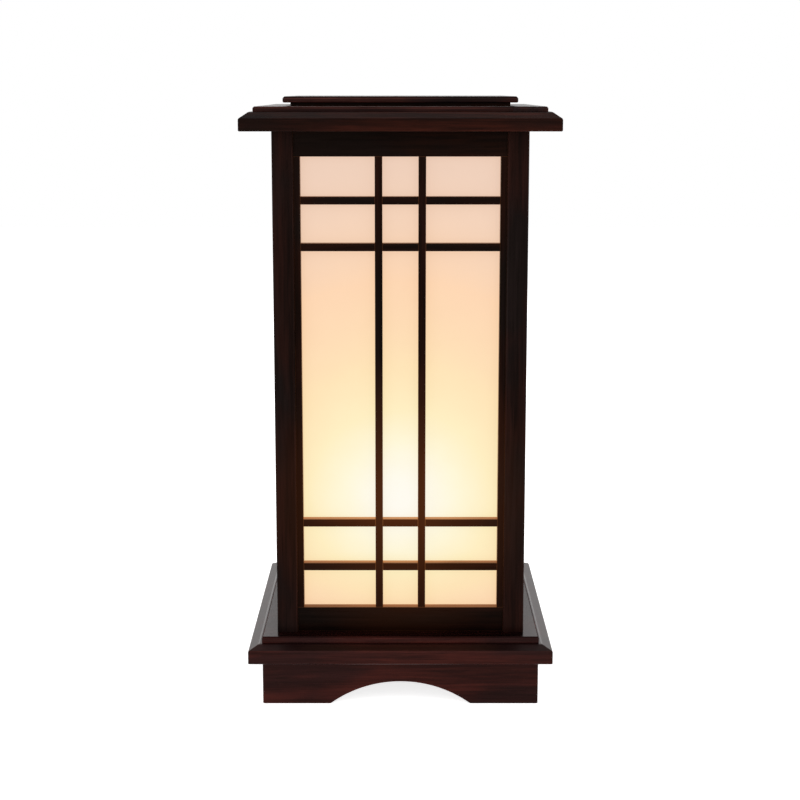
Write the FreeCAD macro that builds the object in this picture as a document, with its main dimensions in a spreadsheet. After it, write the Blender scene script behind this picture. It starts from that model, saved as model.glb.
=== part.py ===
import FreeCAD, Part
import math
import os
import re
import Sketcher

# Shoji table lamp, in millimetres. The origin is on the floor at the centre, +Z is up, the front looks to -Y.
# A moulded base on arched aprons carries four grooved posts, rails and a half-lapped lattice in front of
# translucent panes. A moulded roof with a lift-off lid covers them, and a bulb stands in a lampholder inside.

SIZES = (
    # Aprons under the base
    ("apron_setback", 9.5),
    ("apron_height", 33),
    ("apron_thickness", 13),
    ("apron_foot", 49),
    ("arch_rise", 16.7),
    ("block_leg", 20),
    ("block_height", 27),
    # Cord inlet in the back apron
    ("inlet_from_end", 43.5),
    ("inlet_height", 17),
    ("grommet_bore", 3.6),
    ("grommet_waist", 6),
    ("grommet_flange", 8.5),
    ("grommet_lip", 1.6),
    # Moulded base board
    ("base_overhang", 19.8),
    ("base_edge_height", 9.9),
    ("base_slope_rise", 3.1),
    ("base_slope_run", 7.3),
    ("base_ledge", 2),
    ("base_tier_height", 4.5),
    # Moulded roof board and the strips on top of it
    ("roof_overhang", 20.8),
    ("roof_edge_height", 8.5),
    ("roof_slope_rise", 4.7),
    ("roof_slope_run", 6.8),
    ("roof_ledge", 2.4),
    ("port_lip", 5.4),
    ("strip_width", 24),
    ("strip_height", 3.5),
    ("strip_bevel", 1),
    ("arris_bevel", 0.6),
    # Posts and rails
    ("body_width", 178.4),
    ("post_width", 14.8),
    ("post_height", 360.5),
    ("rail_recess", 3),
    ("rail_height", 17.8),
    ("rail_thickness", 7),
    ("tenon_thickness", 3),
    ("tenon_height", 11),
    ("tenon_length", 5),
    # Lattice
    ("stile_width", 4.6),
    ("upright_width", 5.3),
    ("upright_spacing", 30.5),
    ("crossbar_height", 5.5),
    ("crossbar_margin", 27.7),
    ("crossbar_gap", 27.1),
    ("stub_length", 2.5),
    ("stub_depth", 3),
    # Panes
    ("pane_thickness", 2),
    ("pane_lap", 1.9),
    ("pane_play", 0.15),
    ("pane_headroom", 0.5),
    # Lid
    ("lid_overhang", 5.25),
    ("lid_thickness", 4.3),
    ("lid_gap", 2.4),
    ("lid_bevel", 1.3),
    ("lid_corner", 2.2),
    ("plug_strip_width", 9),
    ("plug_play", 0.3),
    # Wood screws
    ("screw_head", 3.9),
    ("screw_shank", 1.9),
    ("screw_head_height", 2.2),
    ("screw_length", 38),
    ("screw_clearance", 0.15),
    # Threaded tube that clamps the lampholder to the base
    ("tube_radius", 5),
    ("tube_bore", 3.4),
    ("tube_clearance", 0.2),
    ("tube_stand_in", 1),
    ("tube_stand_up", 9),
    ("counterbore_radius", 12),
    ("counterbore_depth", 8),
    ("washer_radius", 10.5),
    ("washer_thickness", 1.2),
    ("nut_flats", 14),
    ("nut_thickness", 4),
    # Lampholder
    ("holder_foot", 13),
    ("holder_taper", 11),
    ("holder_cap_height", 20),
    ("holder_wall", 2),
    ("insert_height", 7),
    ("insert_play", 0.15),
    ("sleeve_height", 28),
    ("sleeve_wall", 3),
    ("sleeve_rim", 1.2),
    ("sleeve_rim_height", 4),
    ("cap_play", 0.35),
    ("shell_wall", 0.5),
    ("shell_room", 2.55),
    ("shell_height", 23),
    ("contact_reach", 9.5),
    ("contact_foot", 4),
    ("contact_lift", 4.6),
    ("contact_tongue", 4.2),
    ("contact_thickness", 0.6),
    ("contact_width", 5),
    # Bulb
    ("bulb_seat_gap", 0.2),
    ("button_radius", 4.6),
    ("button_height", 1.6),
    ("insulator_height", 4.4),
    ("cap_radius", 13.1),
    ("cap_wall", 0.4),
    ("cap_height", 20.5),
    ("housing_height", 10),
    ("globe_radius", 18.5),
    ("globe_wall", 1.5),
    ("globe_skirt", 69),
    ("globe_bevel", 3),
    # How far a cut runs past the face it starts from
    ("overrun", 1),
)

SIDES = ("front", "right", "back", "left")
CORNERS = ("front_left", "front_right", "back_right", "back_left")
QUARTER_TURN = 90

doc = FreeCAD.newDocument("shoji_table_lamp")
sizes = doc.addObject("Spreadsheet::Sheet", "sizes")
for row, (alias, value) in enumerate(SIZES, start=1):
    sizes.set(f"A{row}", alias)
    sizes.set(f"B{row}", str(value))
    sizes.setAlias(f"B{row}", alias)
doc.recompute()
ALIASES = {alias for alias, value in SIZES}

# Levels and faces that several pieces share, as formulas in the sizes
BASE_HALF = "(body_width / 2 + base_overhang)"
APRON_HALF = f"({BASE_HALF} - apron_setback)"
APRON_INNER = f"({APRON_HALF} - apron_thickness)"
ARCH_HALF = f"({APRON_HALF} - apron_foot)"
INLET_OFFSET = f"({APRON_HALF} - inlet_from_end)"
BASE_SLOPE_FOOT = "apron_height + base_edge_height"
BASE_SLOPE_TOP = f"{BASE_SLOPE_FOOT} + base_slope_rise"
BASE_TOP = f"({BASE_SLOPE_TOP} + base_tier_height)"
BASE_TIER_HALF = f"({BASE_HALF} - base_slope_run - base_ledge)"
ROOF_BOTTOM = f"({BASE_TOP} + post_height)"
ROOF_SLOPE_FOOT = f"{ROOF_BOTTOM} + roof_edge_height"
ROOF_LEDGE_LEVEL = f"({ROOF_SLOPE_FOOT} + roof_slope_rise)"
ROOF_HALF = "(body_width / 2 + roof_overhang)"
ROOF_TIER_HALF = f"({ROOF_HALF} - roof_slope_run - roof_ledge)"
ROOF_TOP = f"({ROOF_LEDGE_LEVEL} + strip_height)"
STRIP_INNER = f"({ROOF_TIER_HALF} - strip_width)"
PLUG_HALF = f"({STRIP_INNER} - plug_play)"
LID_HALF = f"({PLUG_HALF} + lid_overhang)"
LID_BOTTOM = f"({ROOF_TOP} + lid_gap)"
POST_OUTER = "(body_width / 2)"
POST_INNER = "(body_width / 2 - post_width)"
POST_CENTRE = "(body_width / 2 - post_width / 2)"
PORT_HALF = f"({POST_INNER} - port_lip)"
RAIL_FRONT = "(body_width / 2 - rail_recess)"
RAIL_BACK = f"({RAIL_FRONT} - rail_thickness)"
RAIL_MIDDLE = f"({RAIL_FRONT} - rail_thickness / 2)"
PANE_BACK = f"({RAIL_BACK} - pane_thickness)"
WINDOW_BOTTOM = f"({BASE_TOP} + rail_height)"
WINDOW_TOP = f"({ROOF_BOTTOM} - rail_height)"
STILE_INNER = f"({POST_INNER} - stile_width)"
BAR_LEVELS = (
    f"({WINDOW_BOTTOM} + crossbar_margin)",
    f"({WINDOW_BOTTOM} + crossbar_margin + crossbar_height + crossbar_gap)",
    f"({WINDOW_TOP} - crossbar_margin - crossbar_gap - 2 * crossbar_height)",
    f"({WINDOW_TOP} - crossbar_margin - crossbar_height)",
)
SHELL_BORE = "(cap_radius + cap_play)"
SHELL_OUTER = f"({SHELL_BORE} + shell_wall)"
SLEEVE_BORE = f"({SHELL_OUTER} + shell_room)"
HOLDER_RADIUS = f"({SLEEVE_BORE} + sleeve_wall)"
HOLDER_TOP = f"({BASE_TOP} + holder_cap_height)"
BULB_BOTTOM = f"({HOLDER_TOP} + contact_lift + bulb_seat_gap)"
INSULATOR_BOTTOM = f"({BULB_BOTTOM} + button_height)"
CAP_BOTTOM = f"({INSULATOR_BOTTOM} + insulator_height)"
CAP_TOP = f"({CAP_BOTTOM} + cap_height)"
GLOBE_SEAT = f"({CAP_TOP} + housing_height)"
GLOBE_INNER = "(globe_radius - globe_wall)"
TUBE_SEAT = "(apron_height + counterbore_depth)"


def bound(formula):
    """The formula with each size name tied to its cell."""
    return re.sub(r"[a-z_]+", lambda m: f"sizes.{m[0]}" if m[0] in ALIASES else m[0], formula)


def number(formula):
    """The formula's value at the present sizes."""
    return float(sizes.evalExpression(bound(formula)))


def new_body(label, turn=0):
    """A body modelled on the front side and turned about Z to its own side, in quarter turns."""
    body = doc.addObject("PartDesign::Body", label)
    body.Label = label
    body.AllowCompound = True
    body.Placement.Rotation = FreeCAD.Rotation(FreeCAD.Vector(0, 0, 1), turn * QUARTER_TURN)
    return body


def origin_feature(body, role):
    """One of the body's own origin planes or axes."""
    return next(f for f in body.Origin.OriginFeatures if f.Role == role)


def short_arc(start, end, radius, side):
    """The short arc between two points, with its centre left (1) or right (-1) of the way to the end."""
    chord = end - start
    across = FreeCAD.Vector(-chord.y, chord.x, 0) / chord.Length
    centre = (start + end) / 2 + across * side * math.sqrt(radius ** 2 - (chord.Length / 2) ** 2)
    first, last = (start, end) if side > 0 else (end, start)
    turn = [math.atan2(p.y - centre.y, p.x - centre.x) for p in (first, last)]
    return Part.ArcOfCircle(Part.Circle(centre, FreeCAD.Vector(0, 0, 1), radius), *turn)


def draw_loop(sketch, corners, arcs):
    """A closed loop with corners tied to formulas. arcs gives a radius and a side to the edge it numbers."""
    first = sketch.GeometryCount
    count = len(corners)
    points = [FreeCAD.Vector(number(x), number(y), 0) for x, y in corners]
    starts = []
    ends = []
    for i in range(count):
        start = points[i]
        end = points[(i + 1) % count]
        radius, side = arcs.get(i, (None, 1))
        edge = short_arc(start, end, number(radius), side) if radius else Part.LineSegment(start, end)
        sketch.addGeometry(edge)
        starts.append(1 if side > 0 else 2)
        ends.append(2 if side > 0 else 1)
    for i in range(count):
        j = (i + 1) % count
        sketch.addConstraint(Sketcher.Constraint("Coincident", first + i, ends[i], first + j, starts[j]))
    for i, (x, y) in enumerate(corners):
        for kind, formula, place in (("DistanceX", x, points[i].x), ("DistanceY", y, points[i].y)):
            index = sketch.addConstraint(Sketcher.Constraint(kind, first + i, starts[i], place))
            sketch.setExpression(f"Constraints[{index}]", bound(formula))
    for i, (radius, side) in arcs.items():
        index = sketch.addConstraint(Sketcher.Constraint("Radius", first + i, number(radius)))
        sketch.setExpression(f"Constraints[{index}]", bound(radius))


def new_sketch(body, name, role, loops, offset=("0", "0", "0"), arcs=None):
    """A sketch parallel to an origin plane, moved by offset along the plane's own two axes and its normal."""
    sketch = body.newObject("Sketcher::SketchObject", f"{body.Label}_{name}")
    sketch.AttachmentSupport = [(origin_feature(body, role), "")]
    sketch.MapMode = "FlatFace"
    for axis, formula in zip("xyz", offset):
        sketch.setExpression(f"AttachmentOffset.Base.{axis}", bound(formula))
    for corners in loops:
        draw_loop(sketch, corners, arcs or {})
    return sketch


def rectangle(left, right, low, high):
    """The four corners of a rectangle."""
    return [(left, low), (right, low), (right, high), (left, high)]


def pad(body, name, sketch, length, backwards=False):
    """A pad along the sketch's normal, or against it."""
    feature = body.newObject("PartDesign::Pad", f"{body.Label}_{name}")
    feature.Profile = sketch
    feature.Reversed = backwards
    feature.setExpression("Length", bound(length))
    doc.recompute()
    return feature


def pocket(body, name, sketch, length, along=False):
    """A pocket against the sketch's normal, or along it, which has to take something away."""
    before = body.Shape.Volume
    feature = body.newObject("PartDesign::Pocket", f"{body.Label}_{name}")
    feature.Profile = sketch
    feature.Reversed = along
    feature.setExpression("Length", bound(length))
    doc.recompute()
    if body.Shape.Volume >= before:
        raise RuntimeError(f"{body.Label}: {name} cuts nothing")
    return feature


def turned(body, name, corners, at=("0", "0"), role="XZ_Plane", level="0", cut=False, arcs=None):
    """A profile of radius and height turned about an upright axis at the given place, added or cut away.
    On the XY plane the axis lies along Y at the given level."""
    x, y = at
    offset = (x, "0", f"-({y})") if role == "XZ_Plane" else (x, y, level)
    sketch = new_sketch(body, f"{name}_profile", role, [corners], offset, arcs)
    kind = "PartDesign::Groove" if cut else "PartDesign::Revolution"
    before = body.Shape.Volume if cut else 0
    feature = body.newObject(kind, f"{body.Label}_{name}")
    feature.Profile = sketch
    feature.ReferenceAxis = (sketch, ["V_Axis"])
    doc.recompute()
    if cut and body.Shape.Volume >= before:
        raise RuntimeError(f"{body.Label}: {name} cuts nothing")
    return feature


def repeat_around(body, name, feature, count):
    """Copies of a feature spread evenly about the lamp's axis."""
    pattern = body.newObject("PartDesign::PolarPattern", f"{body.Label}_{name}")
    pattern.Originals = [feature]
    pattern.Axis = (origin_feature(body, "Z_Axis"), [""])
    pattern.Occurrences = count
    body.Tip = pattern
    doc.recompute()
    return pattern


def mirror(body, name, features):
    """The features once more on the other side of the middle plane between left and right."""
    copy = body.newObject("PartDesign::Mirrored", f"{body.Label}_{name}")
    copy.Originals = features
    copy.MirrorPlane = (origin_feature(body, "YZ_Plane"), [""])
    body.Tip = copy
    doc.recompute()
    return copy


def dress_edges(body, name, kind, size, formula, wanted):
    """Rounds or bevels the edges of the body's last feature that the test picks by their two end points."""
    feature = body.Tip
    picked = []
    for i, edge in enumerate(feature.Shape.Edges, start=1):
        if len(edge.Vertexes) == 2 and wanted(edge.Vertexes[0].Point, edge.Vertexes[1].Point):
            picked.append(f"Edge{i}")
    if not picked:
        raise RuntimeError(f"{body.Label}: {name} finds no edge")
    dressing = body.newObject(kind, f"{body.Label}_{name}")
    dressing.Base = (feature, picked)
    dressing.setExpression(size, bound(formula))
    doc.recompute()
    return dressing


def round_edges(body, name, radius, wanted):
    """Rounds the edges that the test picks."""
    return dress_edges(body, name, "PartDesign::Fillet", "Radius", radius, wanted)


def bevel_edges(body, name, width, wanted):
    """Bevels the edges that the test picks."""
    return dress_edges(body, name, "PartDesign::Chamfer", "Size", width, wanted)


def near(a, b):
    """True for two coordinates that are the same but for rounding."""
    return math.isclose(a, b, abs_tol=1e-4)


def level_edges(*levels):
    """A test for edges that lie flat at one of the given heights."""
    heights = [number(level) for level in levels]
    return lambda p, q: near(p.z, q.z) and any(near(p.z, height) for height in heights)


def square(half):
    """A square about the axis."""
    return rectangle(f"-{half}", half, f"-{half}", half)


def moulded_edge(body, half, bottom, edge_height, slope_rise, slope_run):
    """A square board with an upright edge below and a slope running in above it."""
    foot = new_sketch(body, "outline", "XY_Plane", [square(half)], ("0", "0", bottom))
    pad(body, "edge", foot, edge_height)
    slope_foot = f"{bottom} + {edge_height}"
    slope_top = f"{slope_foot} + {slope_rise}"
    low = new_sketch(body, "slope_foot", "XY_Plane", [square(half)], ("0", "0", slope_foot))
    inner_half = f"({half} - {slope_run})"
    high = new_sketch(body, "slope_top", "XY_Plane", [square(inner_half)], ("0", "0", slope_top))
    slope = body.newObject("PartDesign::AdditiveLoft", f"{body.Label}_slope")
    slope.Profile = low
    slope.Sections = [high]
    slope.Ruled = True
    doc.recompute()
    return slope


def screw_profile(seat, up, clearance):
    """Half the outline of a flat-headed screw whose head lies at seat and whose shank runs up or down."""
    def level(distance):
        return f"{seat} + {distance}" if up else f"{seat} - ({distance})"
    return [
        ("0", level("0")),
        (f"screw_head + {clearance}", level("0")),
        (f"screw_head + {clearance}", level("screw_head_height")),
        (f"screw_shank + {clearance}", level("screw_head_height")),
        (f"screw_shank + {clearance}", level(f"screw_length + {clearance}")),
        ("0", level(f"screw_length + {clearance}")),
    ]


SCREW_PLACE = (f"-{POST_CENTRE}", f"-{POST_CENTRE}")
BASE_SCREW = ("apron_height", True)
ROOF_SCREW = (ROOF_LEDGE_LEVEL, False)


def screws(label, seat, up):
    """Four wood screws, one in the end of each post."""
    body = new_body(label)
    screw = turned(body, "screw", screw_profile(seat, up, "0"), SCREW_PLACE)
    repeat_around(body, "set", screw, len(CORNERS))
    return body


def screw_holes(body, seat, up, count):
    """The counterbored holes that those screws pass through."""
    hole = turned(body, "hole", screw_profile(seat, up, "screw_clearance"), SCREW_PLACE, cut=True)
    if count > 1:
        repeat_around(body, "holes", hole, count)


def apron(side):
    """A mitred apron with a low arch. The back one also has the hole for the cord inlet."""
    turn = SIDES.index(side)
    body = new_body(f"apron_{side}", turn)
    half = APRON_HALF
    inner = APRON_INNER
    plan = [(f"-{half}", f"-{half}"), (half, f"-{half}"), (inner, f"-{inner}"), (f"-{inner}", f"-{inner}")]
    pad(body, "board", new_sketch(body, "plan", "XY_Plane", [plan]), "apron_height")
    arch_radius = f"(({ARCH_HALF} * {ARCH_HALF} + arch_rise * arch_rise) / (2 * arch_rise))"
    arch = [(f"-{ARCH_HALF}", "-overrun"), (ARCH_HALF, "-overrun"), (ARCH_HALF, "0"), (f"-{ARCH_HALF}", "0")]
    front = ("0", "0", f"{half} + overrun")
    arch_sketch = new_sketch(body, "arch_outline", "XZ_Plane", [arch], front, {2: (arch_radius, 1)})
    pocket(body, "arch", arch_sketch, "apron_thickness + 2 * overrun")
    if side == "back":
        hole = [
            ("0", f"-{half} - overrun"),
            ("grommet_waist", f"-{half} - overrun"),
            ("grommet_waist", f"-{inner} + overrun"),
            ("0", f"-{inner} + overrun"),
        ]
        turned(body, "inlet", hole, (INLET_OFFSET, "0"), "XY_Plane", "inlet_height", cut=True)
    return body


def corner_blocks():
    """Glued three-cornered blocks that tie the aprons to each other and to the base board."""
    body = new_body("corner_blocks")
    corner = f"-{APRON_INNER}"
    plan = [(corner, corner), (f"{corner} + block_leg", corner), (corner, f"{corner} + block_leg")]
    sketch = new_sketch(body, "plan", "XY_Plane", [plan], ("0", "0", "apron_height"))
    block = pad(body, "block", sketch, "block_height", backwards=True)
    repeat_around(body, "set", block, len(CORNERS))
    return body


def cord_grommet():
    """The bush that lines the cord inlet in the back apron."""
    body = new_body("cord_grommet", SIDES.index("back"))
    outer = f"-{APRON_HALF}"
    inner = f"-{APRON_INNER}"
    waist = "grommet_waist - screw_clearance"
    profile = [
        ("grommet_bore", f"{outer} - grommet_lip"),
        ("grommet_flange", f"{outer} - grommet_lip"),
        ("grommet_flange", outer),
        (waist, outer),
        (waist, inner),
        ("grommet_flange", inner),
        ("grommet_flange", f"{inner} + grommet_lip"),
        ("grommet_bore", f"{inner} + grommet_lip"),
    ]
    turned(body, "bush", profile, (INLET_OFFSET, "0"), "XY_Plane", "inlet_height")
    return body


def base_board():
    """The moulded board under the posts, bored for the lampholder's tube and the post screws."""
    body = new_body("base_board")
    moulded_edge(body, BASE_HALF, "apron_height", "base_edge_height", "base_slope_rise", "base_slope_run")
    bevel_edges(body, "arris", "arris_bevel", level_edges("apron_height", BASE_SLOPE_FOOT, BASE_SLOPE_TOP))
    tier = new_sketch(body, "tier_outline", "XY_Plane", [square(BASE_TIER_HALF)], ("0", "0", BASE_SLOPE_TOP))
    pad(body, "tier", tier, "base_tier_height")
    bevel_edges(body, "tier_bevel", "strip_bevel", level_edges(BASE_TOP))
    bore = [
        ("0", "apron_height - overrun"),
        ("counterbore_radius", "apron_height - overrun"),
        ("counterbore_radius", TUBE_SEAT),
        ("tube_radius + tube_clearance", TUBE_SEAT),
        ("tube_radius + tube_clearance", f"{BASE_TOP} + overrun"),
        ("0", f"{BASE_TOP} + overrun"),
    ]
    turned(body, "bore", bore, cut=True)
    screw_holes(body, *BASE_SCREW, len(CORNERS))
    return body


def post(corner):
    """A corner post, grooved for two panes and mortised for two rails at each end."""
    body = new_body(f"post_{corner}", CORNERS.index(corner))
    groove_front = f"-({RAIL_BACK} + pane_play)"
    groove_back = f"-({PANE_BACK} - pane_play)"
    groove_floor = f"-({POST_INNER} + pane_lap + pane_play)"
    outer = f"-{POST_OUTER}"
    inner = f"-{POST_INNER}"
    section = [
        (outer, outer),
        (inner, outer),
        (inner, groove_front),
        (groove_floor, groove_front),
        (groove_floor, groove_back),
        (inner, groove_back),
        (inner, inner),
        (groove_back, inner),
        (groove_back, groove_floor),
        (groove_front, groove_floor),
        (groove_front, inner),
        (outer, inner),
    ]
    plan = new_sketch(body, "section", "XY_Plane", [section], ("0", "0", BASE_TOP))
    pad(body, "stick", plan, "post_height")
    half = number(POST_OUTER)
    inside = number(POST_INNER)

    def outer_arris(p, q):
        on_faces = near(p.x, -half) and near(p.y, -half)
        on_front = near(p.x, -inside) and near(p.y, -half)
        on_side = near(p.x, -half) and near(p.y, -inside)
        return near(p.x, q.x) and near(p.y, q.y) and (on_faces or on_front or on_side)

    bevel_edges(body, "arris", "arris_bevel", outer_arris)
    thin = "tenon_thickness / 2"
    tall = "tenon_height / 2"
    middles = [f"({BASE_TOP} + rail_height / 2)", f"({ROOF_BOTTOM} - rail_height / 2)"]
    left = f"-{RAIL_MIDDLE} - {thin}"
    right = f"-{RAIL_MIDDLE} + {thin}"
    front = [rectangle(left, right, f"{middle} - {tall}", f"{middle} + {tall}") for middle in middles]
    face = ("0", "0", inner)
    pocket(body, "front_mortise", new_sketch(body, "front_mortises", "YZ_Plane", front, face), "tenon_length")
    face = ("0", "0", POST_INNER)
    side = new_sketch(body, "side_mortises", "XZ_Plane", front, face)
    pocket(body, "side_mortise", side, "tenon_length", along=True)
    screw_holes(body, *BASE_SCREW, 1)
    top = turned(body, "top_hole", screw_profile(*ROOF_SCREW, "screw_clearance"), SCREW_PLACE, cut=True)
    body.Tip = top
    return body


def rail(side, end):
    """A top or bottom rail with stub tenons for the posts and mortises for the lattice uprights."""
    body = new_body(f"{end}_rail_{side}", SIDES.index(side))
    low = BASE_TOP if end == "bottom" else WINDOW_TOP
    high = f"({low} + rail_height)"
    face = new_sketch(body, "face", "XZ_Plane", [rectangle(f"-{POST_INNER}", POST_INNER, low, high)],
                      ("0", "0", RAIL_FRONT))
    pad(body, "stick", face, "rail_thickness", backwards=True)
    thin = "tenon_thickness / 2"
    middle = f"({low} + rail_height / 2)"
    tenon = rectangle(f"-{RAIL_MIDDLE} - {thin}", f"-{RAIL_MIDDLE} + {thin}",
                      f"{middle} - tenon_height / 2", f"{middle} + tenon_height / 2")
    shoulder = new_sketch(body, "tenon_face", "YZ_Plane", [tenon], ("0", "0", POST_INNER))
    right = pad(body, "tenon", shoulder, "tenon_length")
    mirror(body, "tenons", [right])
    seats = [upright_stub(place) for place in (-1, 1)]
    lip = high if end == "bottom" else low
    mouth = new_sketch(body, "upright_mortises", "XY_Plane", seats, ("0", "0", lip))
    body.Tip = pocket(body, "upright_mortise", mouth, "stub_length", along=end == "top")
    return body


def upright_stub(place):
    """The plan of an upright's stub tenon, left or right of the middle."""
    centre = f"{place} * upright_spacing / 2"
    return rectangle(f"{centre} - upright_width / 2", f"{centre} + upright_width / 2",
                     f"-{RAIL_MIDDLE} - stub_depth / 2", f"-{RAIL_MIDDLE} + stub_depth / 2")


def stiles(side):
    """The two edge strips of a lattice, mortised for the crossbars."""
    body = new_body(f"lattice_stiles_{side}", SIDES.index(side))
    face = new_sketch(body, "face", "XZ_Plane",
                      [rectangle(STILE_INNER, POST_INNER, WINDOW_BOTTOM, WINDOW_TOP)], ("0", "0", RAIL_FRONT))
    stick = pad(body, "stick", face, "rail_thickness", backwards=True)
    seats = [rectangle(f"-{RAIL_MIDDLE} - stub_depth / 2", f"-{RAIL_MIDDLE} + stub_depth / 2",
                       level, f"{level} + crossbar_height") for level in BAR_LEVELS]
    mouth = new_sketch(body, "mortises", "YZ_Plane", seats, ("0", "0", STILE_INNER))
    cut = pocket(body, "mortise", mouth, "stub_length", along=True)
    mirror(body, "pair", [stick, cut])
    return body


def uprights(side):
    """The two uprights of a lattice, half-lapped from behind where the crossbars pass."""
    body = new_body(f"lattice_uprights_{side}", SIDES.index(side))
    front = f"-{RAIL_FRONT}"
    back = f"-{RAIL_BACK}"
    middle = f"-{RAIL_MIDDLE}"
    stub_front = f"-{RAIL_MIDDLE} - stub_depth / 2"
    stub_back = f"-{RAIL_MIDDLE} + stub_depth / 2"
    profile = [
        (front, WINDOW_TOP),
        (front, WINDOW_BOTTOM),
        (stub_front, WINDOW_BOTTOM),
        (stub_front, f"{WINDOW_BOTTOM} - stub_length"),
        (stub_back, f"{WINDOW_BOTTOM} - stub_length"),
        (stub_back, WINDOW_BOTTOM),
        (back, WINDOW_BOTTOM),
    ]
    for level in BAR_LEVELS:
        profile += [(back, level), (middle, level)]
        profile += [(middle, f"{level} + crossbar_height"), (back, f"{level} + crossbar_height")]
    profile += [
        (back, WINDOW_TOP),
        (stub_back, WINDOW_TOP),
        (stub_back, f"{WINDOW_TOP} + stub_length"),
        (stub_front, f"{WINDOW_TOP} + stub_length"),
        (stub_front, WINDOW_TOP),
    ]
    place = ("0", "0", "upright_spacing / 2 - upright_width / 2")
    stick = pad(body, "stick", new_sketch(body, "profile", "YZ_Plane", [profile], place), "upright_width")
    mirror(body, "pair", [stick])
    return body


def crossbars(side):
    """The four crossbars of a lattice, half-lapped from the front where the uprights pass."""
    body = new_body(f"lattice_crossbars_{side}", SIDES.index(side))
    front = f"-{RAIL_FRONT}"
    back = f"-{RAIL_BACK}"
    middle = f"-{RAIL_MIDDLE}"
    stub_front = f"-{RAIL_MIDDLE} - stub_depth / 2"
    stub_back = f"-{RAIL_MIDDLE} + stub_depth / 2"
    tip = f"({STILE_INNER} + stub_length)"
    near_edge = "(upright_spacing / 2 - upright_width / 2)"
    far_edge = "(upright_spacing / 2 + upright_width / 2)"
    plan = [
        (f"-{STILE_INNER}", front),
        (f"-{far_edge}", front),
        (f"-{far_edge}", middle),
        (f"-{near_edge}", middle),
        (f"-{near_edge}", front),
        (near_edge, front),
        (near_edge, middle),
        (far_edge, middle),
        (far_edge, front),
        (STILE_INNER, front),
        (STILE_INNER, stub_front),
        (tip, stub_front),
        (tip, stub_back),
        (STILE_INNER, stub_back),
        (STILE_INNER, back),
        (f"-{STILE_INNER}", back),
        (f"-{STILE_INNER}", stub_back),
        (f"-{tip}", stub_back),
        (f"-{tip}", stub_front),
        (f"-{STILE_INNER}", stub_front),
    ]
    for i, level in enumerate(BAR_LEVELS):
        sketch = new_sketch(body, f"plan_{i}", "XY_Plane", [plan], ("0", "0", level))
        pad(body, f"bar_{i}", sketch, "crossbar_height")
    return body


def pane(side):
    """A translucent pane that stands on the base board and slides in the grooves of two posts."""
    body = new_body(f"pane_{side}", SIDES.index(side))
    reach = f"({POST_INNER} + pane_lap)"
    outline = rectangle(f"-{reach}", reach, BASE_TOP, f"{ROOF_BOTTOM} - pane_headroom")
    face = new_sketch(body, "face", "XZ_Plane", [outline], ("0", "0", RAIL_BACK))
    pad(body, "sheet", face, "pane_thickness", backwards=True)
    return body


def roof_board():
    """The moulded board on top of the posts, with a square port for changing the bulb."""
    body = new_body("roof_board")
    moulded_edge(body, ROOF_HALF, ROOF_BOTTOM, "roof_edge_height", "roof_slope_rise", "roof_slope_run")
    bevel_edges(body, "arris", "arris_bevel", level_edges(ROOF_BOTTOM, ROOF_SLOPE_FOOT, ROOF_LEDGE_LEVEL))
    port = new_sketch(body, "port_outline", "XY_Plane", [square(PORT_HALF)],
                      ("0", "0", f"{ROOF_LEDGE_LEVEL} + overrun"))
    pocket(body, "port", port, "roof_edge_height + roof_slope_rise + 2 * overrun")
    screw_holes(body, *ROOF_SCREW, len(CORNERS))
    return body


def roof_strip(side):
    """One of the four strips laid in a pinwheel on the roof board, bevelled along its outer edges."""
    body = new_body(f"roof_strip_{side}", SIDES.index(side))
    plan = rectangle(f"-{ROOF_TIER_HALF}", STRIP_INNER, f"-{ROOF_TIER_HALF}", f"-{STRIP_INNER}")
    sketch = new_sketch(body, "plan", "XY_Plane", [plan], ("0", "0", ROOF_LEDGE_LEVEL))
    pad(body, "stick", sketch, "strip_height")
    edge = -number(ROOF_TIER_HALF)
    top = number(ROOF_TOP)

    def outer_top(p, q):
        on_front = near(p.y, edge) and near(q.y, edge)
        on_end = near(p.x, edge) and near(q.x, edge)
        return near(p.z, top) and near(q.z, top) and (on_front or on_end)

    bevel_edges(body, "bevel", "strip_bevel", outer_top)
    return body


def lid_board():
    """The thin lid with rounded corners and bevelled edges."""
    body = new_body("lid_board")
    pad(body, "board", new_sketch(body, "plan", "XY_Plane", [square(LID_HALF)], ("0", "0", LID_BOTTOM)),
        "lid_thickness")
    round_edges(body, "corners", "lid_corner", lambda p, q: near(p.x, q.x) and near(p.y, q.y))
    top = number(f"{LID_BOTTOM} + lid_thickness")
    bottom = number(LID_BOTTOM)
    bevel_edges(body, "top_bevel", "lid_bevel", lambda p, q: near(p.z, top) and near(q.z, top))
    bevel_edges(body, "bottom_bevel", "arris_bevel", lambda p, q: near(p.z, bottom) and near(q.z, bottom))
    return body


def lid_strips(label, reach, turn):
    """Two of the strips under the lid that seat it on the roof board inside the roof strips."""
    body = new_body(label, turn)
    plan = rectangle(f"-({reach})", reach, f"-{PLUG_HALF}", f"-{PLUG_HALF} + plug_strip_width")
    sketch = new_sketch(body, "plan", "XY_Plane", [plan], ("0", "0", ROOF_LEDGE_LEVEL))
    strip = pad(body, "stick", sketch, "strip_height + lid_gap")
    repeat_around(body, "pair", strip, 2)
    return body


def clamp_tube():
    """The hollow threaded tube that the cord passes up through."""
    body = new_body("clamp_tube")
    foot = "apron_height + tube_stand_in"
    turned(body, "tube", rectangle("tube_bore", "tube_radius", foot, f"{BASE_TOP} + tube_stand_up"))
    return body


def tube_washer():
    """The washer under the base board's counterbore."""
    body = new_body("tube_washer")
    underside = f"{TUBE_SEAT} - washer_thickness"
    turned(body, "ring", rectangle("tube_radius + tube_clearance", "washer_radius", underside, TUBE_SEAT))
    return body


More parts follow.
